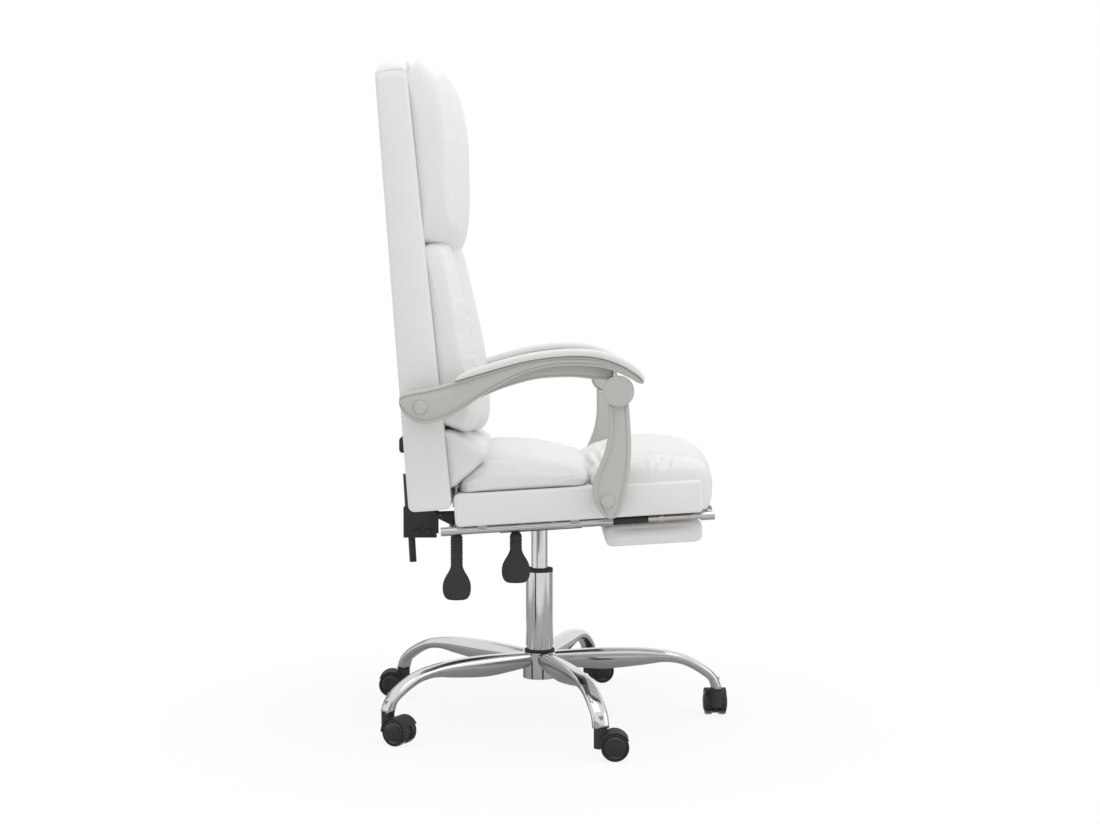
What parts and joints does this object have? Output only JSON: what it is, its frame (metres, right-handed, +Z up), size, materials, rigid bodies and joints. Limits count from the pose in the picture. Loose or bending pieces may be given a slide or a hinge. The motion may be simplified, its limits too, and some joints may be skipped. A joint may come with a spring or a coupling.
{
  "type": "reclining office chair",
  "caption": "High-backed padded office chair with reclining back, linked armrests, pull-out footrest and a star base on casters.",
  "frame": {"origin": "on the floor, on the axis of the centre column", "axes": "+Z up, the chair faces -Y, +X to the sitter's left"},
  "size_m": [0.6792, 0.665, 1.202],
  "materials": {
    "chrome": "polished chrome plate",
    "steel_pins": "zinc plate",
    "black_metal": "black powder coat",
    "black_plastic": "fine grain",
    "caster_tread": "smooth nylon",
    "white_cover": "soft white faux leather",
    "white_pad": "soft white skin foam",
    "grey_plastic": "warm light grey, fine grain",
    "plywood": "raw plywood"
  },
  "bodies": {
    "base": {"base_hub": "chrome", "leg_1": "chrome", "leg_2": "chrome", "leg_3": "chrome", "leg_4": "chrome", "leg_5": "chrome", "column_tube": "chrome", "column_bearings": "black_plastic"},
    "lift": {"lift_rod": "steel_pins"},
    "caster_1": {"caster_1_housing": "black_plastic", "caster_1_pins": "steel_pins"},
    "wheels_1": {"caster_1_wheels": "caster_tread"},
    "caster_2": {"caster_2_housing": "black_plastic", "caster_2_pins": "steel_pins"},
    "wheels_2": {"caster_2_wheels": "caster_tread"},
    "caster_3": {"caster_3_housing": "black_plastic", "caster_3_pins": "steel_pins"},
    "wheels_3": {"caster_3_wheels": "caster_tread"},
    "caster_4": {"caster_4_housing": "black_plastic", "caster_4_pins": "steel_pins"},
    "wheels_4": {"caster_4_wheels": "caster_tread"},
    "caster_5": {"caster_5_housing": "black_plastic", "caster_5_pins": "steel_pins"},
    "wheels_5": {"caster_5_wheels": "caster_tread"},
    "seat": {"lift_cylinder": "chrome", "seat_mechanism": "black_metal", "seat_bolts": "steel_pins", "seat_board": "plywood", "seat_base": "white_cover", "seat_cushion_rear": "white_cover", "seat_cushion_front": "white_cover", "recline_bracket": "black_metal", "seat_pivot_pins": "steel_pins", "rail_tubes": "chrome", "rail_bushes": "black_plastic"},
    "lift_button": {"lift_button": "steel_pins"},
    "height_lever": {"height_lever_rod": "steel_pins", "height_lever_handle": "black_plastic"},
    "recline_lever": {"recline_lever_rod": "steel_pins", "recline_lever_handle": "black_plastic"},
    "gas_cylinder": {"gas_spring_cylinder": "black_metal"},
    "gas_rod": {"gas_spring_rod": "steel_pins"},
    "back": {"back_bracket": "black_metal", "back_pivot_pins": "steel_pins", "back_board": "plywood", "back_frame": "white_cover", "headrest_cushion": "white_cover", "back_cushion": "white_cover", "lumbar_cushion": "white_cover"},
    "arm_bar_left": {"arm_bar_left": "grey_plastic", "arm_pad_left": "white_pad"},
    "arm_bar_right": {"arm_bar_right": "grey_plastic", "arm_pad_right": "white_pad"},
    "arm_post_left": {"arm_post_left": "grey_plastic", "arm_disc_left": "grey_plastic"},
    "arm_post_right": {"arm_post_right": "grey_plastic", "arm_disc_right": "grey_plastic"},
    "footrest_slide": {"slide_rods": "chrome"},
    "footrest": {"footrest_hinge": "black_metal", "footrest_pad": "white_cover"}
  },
  "joints": [
    {"name": "seat_swivel", "type": "hinge", "parent": "base", "child": "lift", "pos_m": [0, 0, 0.09], "axis": [0, 0, 1], "continuous": true},
    {"name": "seat_height", "type": "slide", "parent": "lift", "child": "seat", "axis": [0, 0, 1], "range_m": [-0.055, 0.025]},
    {"name": "lift_button_press", "type": "slide", "parent": "seat", "child": "lift_button", "axis": [0, 0, -1], "range_m": [0, 0.003], "stiffness_N_per_m": 500},
    {"name": "height_lever_lift", "type": "hinge", "parent": "seat", "child": "height_lever", "pos_m": [-0.038, 0.042, 0.367], "axis": [0, 1, 0], "range_deg": [0, 4.5], "stiffness_Nm_per_rad": 5},
    {"name": "recline_lever_lift", "type": "hinge", "parent": "seat", "child": "recline_lever", "pos_m": [-0.045, 0.145, 0.364], "axis": [0, 1, 0], "range_deg": [0, 3.5], "stiffness_Nm_per_rad": 5},
    {"name": "back_recline", "type": "hinge", "parent": "seat", "child": "back", "pos_m": [0, 0.219, 0.409], "axis": [-1, 0, 0], "range_deg": [0, 40]},
    {"name": "arm_bar_left_tilt", "type": "hinge", "parent": "back", "child": "arm_bar_left", "pos_m": [0.282, 0.201, 0.596], "axis": [-1, 0, 0], "range_deg": [-40, 0]},
    {"name": "arm_bar_right_tilt", "type": "hinge", "parent": "back", "child": "arm_bar_right", "pos_m": [-0.282, 0.201, 0.596], "axis": [-1, 0, 0], "range_deg": [-40, 0]},
    {"name": "arm_post_left_tilt", "type": "hinge", "parent": "seat", "child": "arm_post_left", "pos_m": [0.277, -0.114, 0.436], "axis": [-1, 0, 0], "range_deg": [0, 40]},
    {"name": "arm_post_right_tilt", "type": "hinge", "parent": "seat", "child": "arm_post_right", "pos_m": [-0.277, -0.114, 0.436], "axis": [-1, 0, 0], "range_deg": [0, 40]},
    {"name": "gas_spring_tilt", "type": "hinge", "parent": "seat", "child": "gas_cylinder", "pos_m": [0, 0.238, 0.352], "axis": [-1, 0, 0], "range_deg": [0, 27]},
    {"name": "gas_spring_stroke", "type": "slide", "parent": "gas_cylinder", "child": "gas_rod", "axis": [0, -0.0562, -0.9984], "range_m": [0, 0.024]},
    {"name": "footrest_slide", "type": "slide", "parent": "seat", "child": "footrest_slide", "axis": [0, -0.9981, 0.061], "range_m": [0, 0.26]},
    {"name": "footrest_flip", "type": "hinge", "parent": "footrest_slide", "child": "footrest", "pos_m": [0, -0.29793, 0.40521], "axis": [-1, 0, 0], "range_deg": [0, 180]},
    {"name": "caster_1_swivel", "type": "hinge", "parent": "base", "child": "caster_1", "pos_m": [0, -0.33, 0.05], "axis": [0, 0, 1], "continuous": true},
    {"name": "caster_1_roll", "type": "hinge", "parent": "caster_1", "child": "wheels_1", "pos_m": [0.024, -0.33, 0.024], "axis": [0, 1, 0], "continuous": true},
    {"name": "caster_2_swivel", "type": "hinge", "parent": "base", "child": "caster_2", "pos_m": [0.31385, -0.10198, 0.05], "axis": [0, 0, 1], "continuous": true},
    {"name": "caster_2_roll", "type": "hinge", "parent": "caster_2", "child": "wheels_2", "pos_m": [0.32006, -0.12516, 0.024], "axis": [0.9659, 0.2588, 0], "continuous": true},
    {"name": "caster_3_swivel", "type": "hinge", "parent": "base", "child": "caster_3", "pos_m": [0.19397, 0.26698, 0.05], "axis": [0, 0, 1], "continuous": true},
    {"name": "caster_3_roll", "type": "hinge", "parent": "caster_3", "child": "wheels_3", "pos_m": [0.19397, 0.29098, 0.024], "axis": [-1, 0, 0], "continuous": true},
    {"name": "caster_4_swivel", "type": "hinge", "parent": "base", "child": "caster_4", "pos_m": [-0.19397, 0.26698, 0.05], "axis": [0, 0, 1], "continuous": true},
    {"name": "caster_4_roll", "type": "hinge", "parent": "caster_4", "child": "wheels_4", "pos_m": [-0.20597, 0.24619, 0.024], "axis": [0.866, -0.5, 0], "continuous": true},
    {"name": "caster_5_swivel", "type": "hinge", "parent": "base", "child": "caster_5", "pos_m": [-0.31385, -0.10198, 0.05], "axis": [0, 0, 1], "continuous": true},
    {"name": "caster_5_roll", "type": "hinge", "parent": "caster_5", "child": "wheels_5", "pos_m": [-0.31385, -0.12598, 0.024], "axis": [1, 0, 0], "continuous": true}
  ],
  "couplings": [
    {"joint": "lift_button_press", "follows": "height_lever_lift", "m_per_rad": 0.038},
    {"joint": "arm_bar_left_tilt", "follows": "back_recline", "ratio": -1},
    {"joint": "arm_post_left_tilt", "follows": "back_recline", "ratio": 1},
    {"joint": "arm_bar_right_tilt", "follows": "back_recline", "ratio": -1},
    {"joint": "arm_post_right_tilt", "follows": "back_recline", "ratio": 1},
    {"joint": "gas_spring_tilt", "follows": "back_recline", "ratio": 0.6701},
    {"joint": "gas_spring_stroke", "follows": "back_recline", "m_per_rad": 0.034113}
  ]
}
